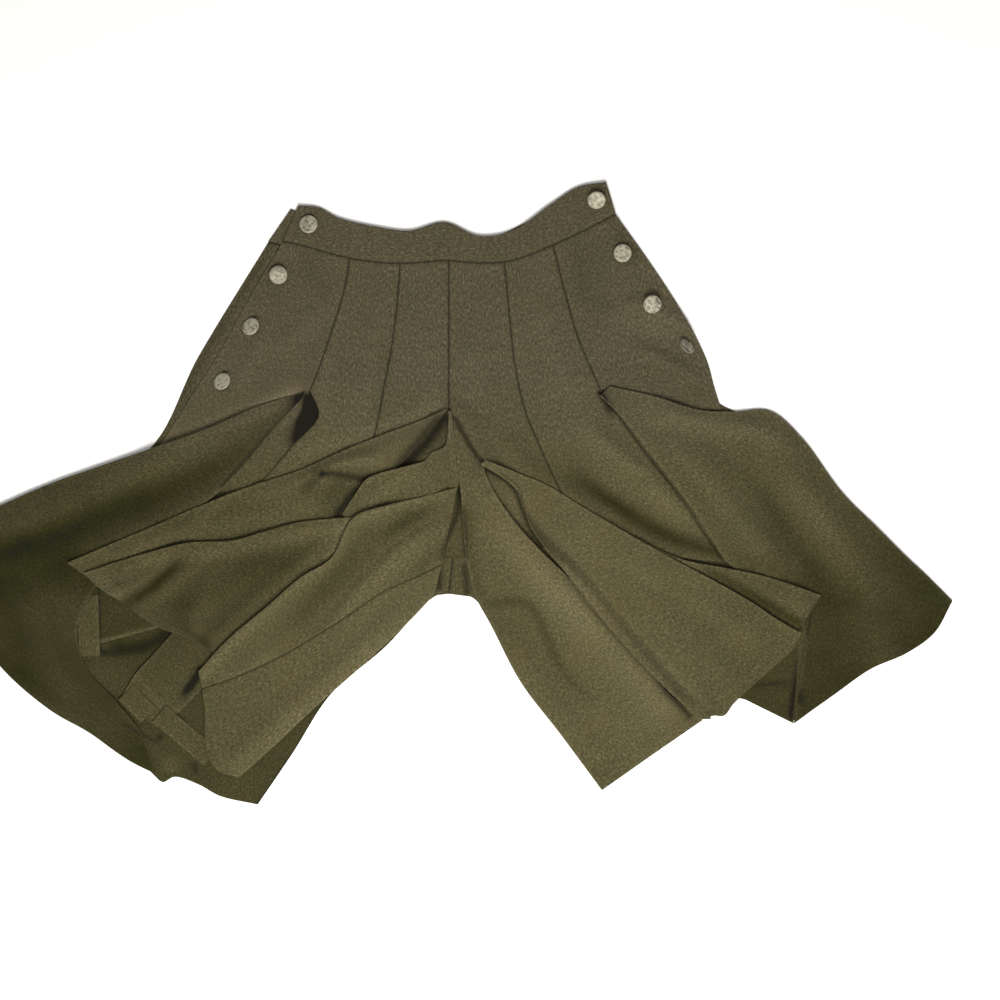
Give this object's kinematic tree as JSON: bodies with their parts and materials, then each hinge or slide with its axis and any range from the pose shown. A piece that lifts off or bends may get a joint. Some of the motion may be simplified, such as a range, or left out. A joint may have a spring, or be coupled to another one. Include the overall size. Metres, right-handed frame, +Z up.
{
  "type": "skort",
  "caption": "Pleated wide-leg skort in olive wool flannel with a buttoned side opening, lying flat with its front up and the leg pleats fanned out",
  "frame": {"origin": "on the table under the middle of the laid garment: the bottom centre of its bounding box", "axes": "+X across the garment, to the right as seen from above with the waist away; +Y from the hems to the waist; +Z up from the table"},
  "size_m": [1.1627, 0.7169, 0.0335],
  "materials": {
    "flannel": "heathered olive wool flannel, matt, with a short raised nap",
    "button_metal": "cast pewter with a dull antique patina"
  },
  "bodies": {
    "root": {"back_left": "flannel", "back_right": "flannel", "waistband_back": "flannel", "pleat_underlay_left": "flannel", "pleat_underlay_right": "flannel", "rise_front": "flannel", "rise_back_left": "flannel", "rise_back_right": "flannel", "hem_leaf_1": "flannel", "hem_leaf_2": "flannel", "under_pleat_right": "flannel", "hem_turn_up_1": "flannel", "hem_turn_up_2": "flannel", "hem_turn_up_3": "flannel", "leg_leaf_right": "flannel", "leg_flap_right": "flannel", "waistband_front": "flannel", "front_hip_left": "flannel", "front_side_left": "flannel", "front_centre_left": "flannel", "front_centre_right": "flannel", "front_side_right": "flannel", "front_hip_right": "flannel", "outer_flare_left": "flannel", "outer_flare_right": "flannel", "flap_right_under": "flannel", "flap_left_1": "flannel", "flap_right": "flannel", "flap_left_1b": "flannel", "flap_left_2": "flannel", "flap_left_3": "flannel", "flap_left_3_inner": "flannel", "button_left_1": "button_metal", "button_left_2": "button_metal", "button_left_3": "button_metal", "button_left_4": "button_metal", "button_right_1": "button_metal", "button_right_2": "button_metal", "button_right_3": "button_metal", "button_right_4": "button_metal"}
  },
  "joints": []
}
